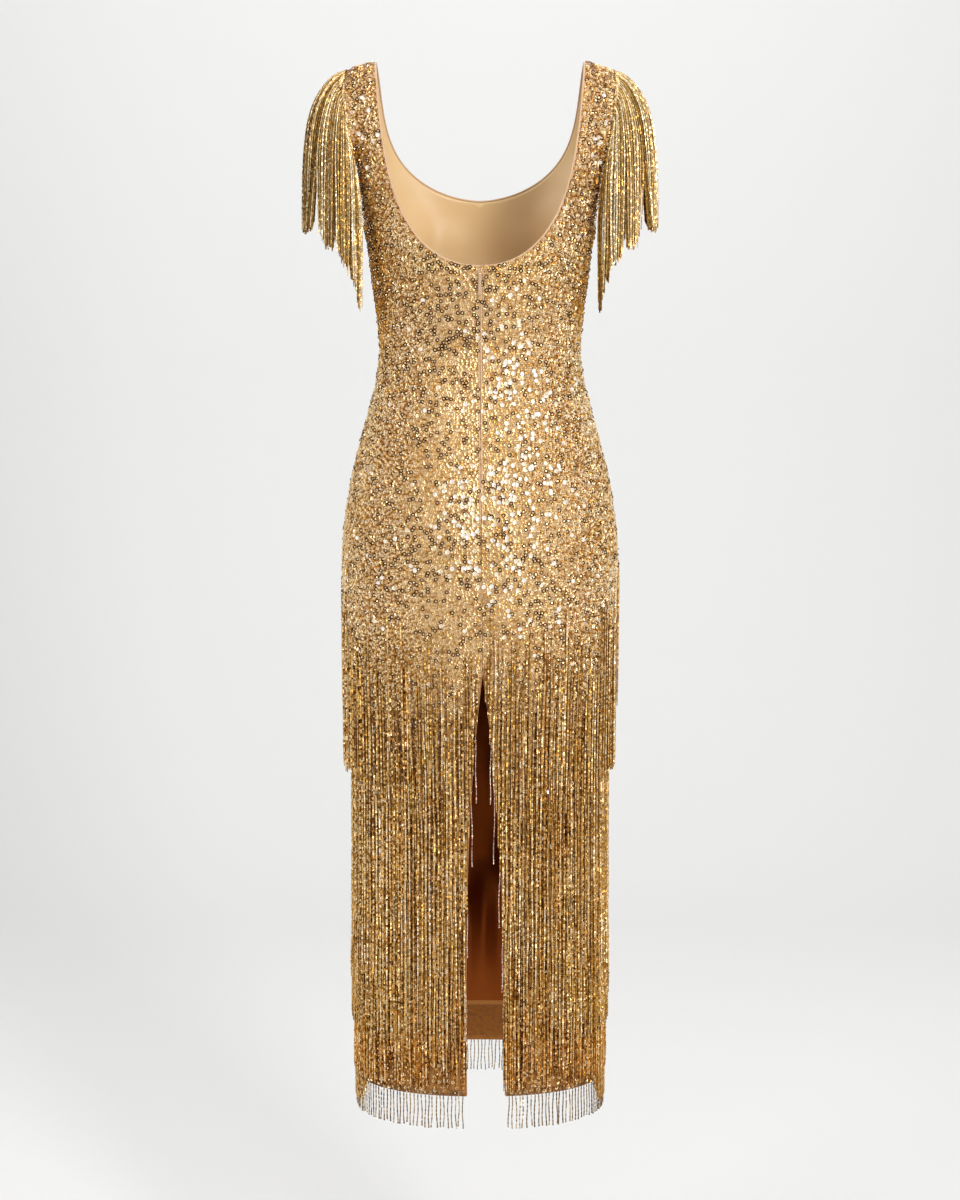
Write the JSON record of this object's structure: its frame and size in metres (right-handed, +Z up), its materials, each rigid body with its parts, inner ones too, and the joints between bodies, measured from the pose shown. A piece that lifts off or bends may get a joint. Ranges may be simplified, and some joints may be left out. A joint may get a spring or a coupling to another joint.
{
  "type": "sequin fringe dress",
  "caption": "Fitted floor-length evening dress of nude mesh covered in gold sequins, with low scooped back, bead fringe on cap sleeves and skirt, centre back zip and slit.",
  "frame": {"origin": "middle of the shoulder line, halfway between the two shoulder seams, where the wearer's shoulders carry the dress", "axes": "+Z up along the body, +Y towards the low open back, +X towards the wearer's left"},
  "size_m": [0.4426, 0.2406, 1.3155],
  "materials": {
    "gold_sequins": "gold sequins on nude mesh",
    "gold_beads": "strung gold and brown glass beads",
    "nude_satin": "soft satin",
    "nude_zip": "satin nude enamel"
  },
  "bodies": {
    "dress": {"front": "gold_sequins", "back_left": "gold_sequins", "back_right": "gold_sequins", "front_lining": "nude_satin", "neck_binding_front": "nude_satin", "neck_binding_back_left": "nude_satin", "neck_binding_back_right": "nude_satin", "cap_sleeve_left": "gold_sequins", "cap_sleeve_right": "gold_sequins", "sleeve_fringe_left": "gold_beads", "sleeve_fringe_right": "gold_beads", "hip_fringe": "gold_beads", "knee_fringe": "gold_beads", "hem_fringe": "gold_beads", "zip_tape": "nude_satin", "zip_slider": "nude_zip"},
    "zip_pull": {"zip_pull": "nude_zip"}
  },
  "joints": [
    {"name": "zip_pull_hinge", "type": "hinge", "parent": "dress", "child": "zip_pull", "pos_m": [0, 0.09855, -0.25409], "axis": [1, 0, 0], "range_deg": [0, 150]}
  ]
}
